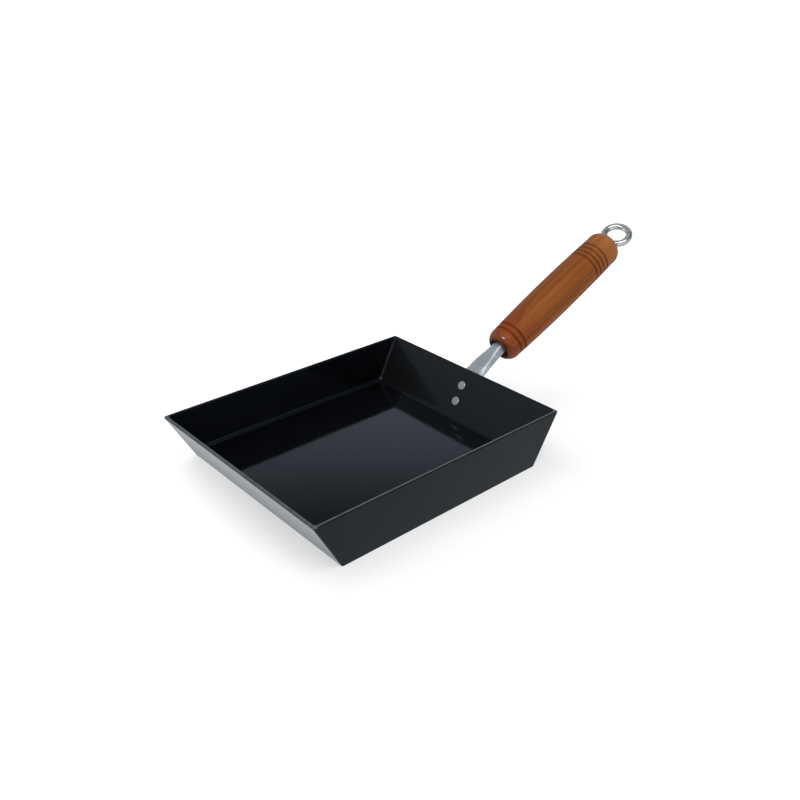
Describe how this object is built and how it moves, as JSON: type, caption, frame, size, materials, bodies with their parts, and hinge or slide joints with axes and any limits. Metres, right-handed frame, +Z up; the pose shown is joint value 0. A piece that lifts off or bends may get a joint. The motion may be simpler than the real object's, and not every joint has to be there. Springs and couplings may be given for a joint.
{
  "type": "tamagoyaki pan",
  "caption": "Small rectangular omelette pan in dark coated metal with flared ends, a riveted bracket, a turned wooden grip and a ring bolt for hanging.",
  "frame": {"origin": "centre of the underside of the pan's base, on the surface that it stands on", "axes": "+Z up, +X along the pan towards the handle, +Y across the pan"},
  "size_m": [0.3419, 0.15, 0.1012],
  "materials": {
    "pan_coat": "dark baked coat on metal, smooth and glossy",
    "bracket_steel": "bare pressed steel with a fine satin grain",
    "rivet_metal": "matt grey rivet metal",
    "grip_wood": "reddish brown turned wood under a satin lacquer",
    "ring_plating": "bright plated steel",
    "inner_steel": "plain plated steel"
  },
  "bodies": {
    "pan": {"pan_body": "pan_coat", "handle_bracket": "bracket_steel", "rivets": "rivet_metal", "wooden_grip": "grip_wood", "bracket_nut": "inner_steel", "end_washer": "inner_steel"},
    "ring_bolt": {"tie_bolt": "ring_plating"}
  },
  "joints": [
    {"name": "ring_turn", "type": "hinge", "parent": "pan", "child": "ring_bolt", "pos_m": [0.23936, 0, 0.09462], "axis": [0.9092, 0, 0.4163], "range_deg": [0, 270]}
  ]
}
